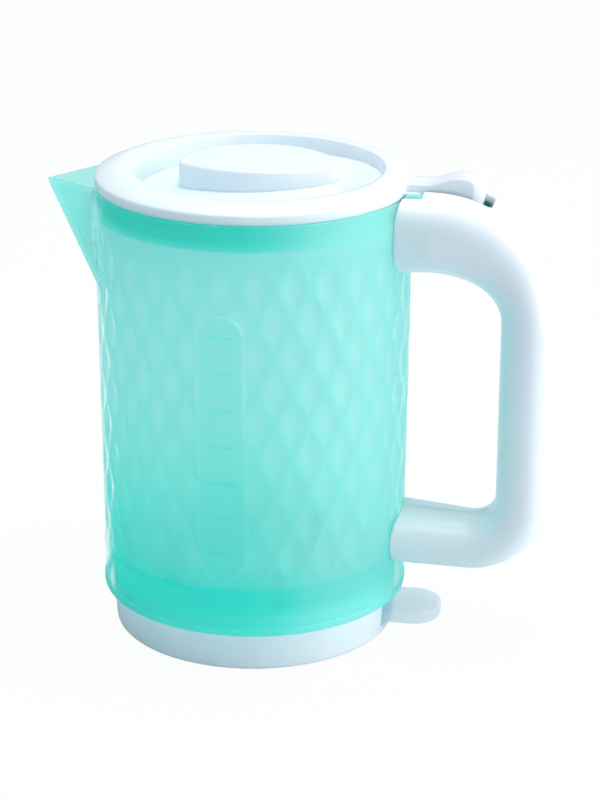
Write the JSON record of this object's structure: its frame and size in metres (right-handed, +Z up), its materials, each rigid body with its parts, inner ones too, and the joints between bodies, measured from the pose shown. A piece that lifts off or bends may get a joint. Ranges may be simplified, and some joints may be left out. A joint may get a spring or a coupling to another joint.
{
  "type": "toy kettle",
  "caption": "Toy kettle with a faceted translucent jug, open spout, level window, hinged lid with thumb lever, D-shaped handle and rocker switch.",
  "frame": {"origin": "centre of the resting plane, on the jug's axis", "axes": "+Z up along the jug's axis, +X towards the handle, so the spout points along -X and the level window faces -Y"},
  "size_m": [0.1633, 0.1002, 0.1537],
  "materials": {
    "mint_plastic": "glossy, translucent",
    "white_plastic": "glossy",
    "steel": "plain"
  },
  "bodies": {
    "jug": {"jug_body": "mint_plastic", "base_cap": "white_plastic", "handle_near": "white_plastic", "handle_far": "white_plastic", "handle_screws": "steel", "base_screws": "steel", "lid_hinge_pin": "steel"},
    "lid": {"lid": "white_plastic"},
    "switch": {"power_switch": "white_plastic"}
  },
  "joints": [
    {"name": "lid_hinge", "type": "hinge", "parent": "jug", "child": "lid", "pos_m": [0.0524, 0, 0.1469], "axis": [0, 1, 0], "range_deg": [0, 58]},
    {"name": "switch_pivot", "type": "hinge", "parent": "jug", "child": "switch", "pos_m": [0.0365, 0, 0.0071], "axis": [0, 1, 0], "range_deg": [0, 6]}
  ]
}
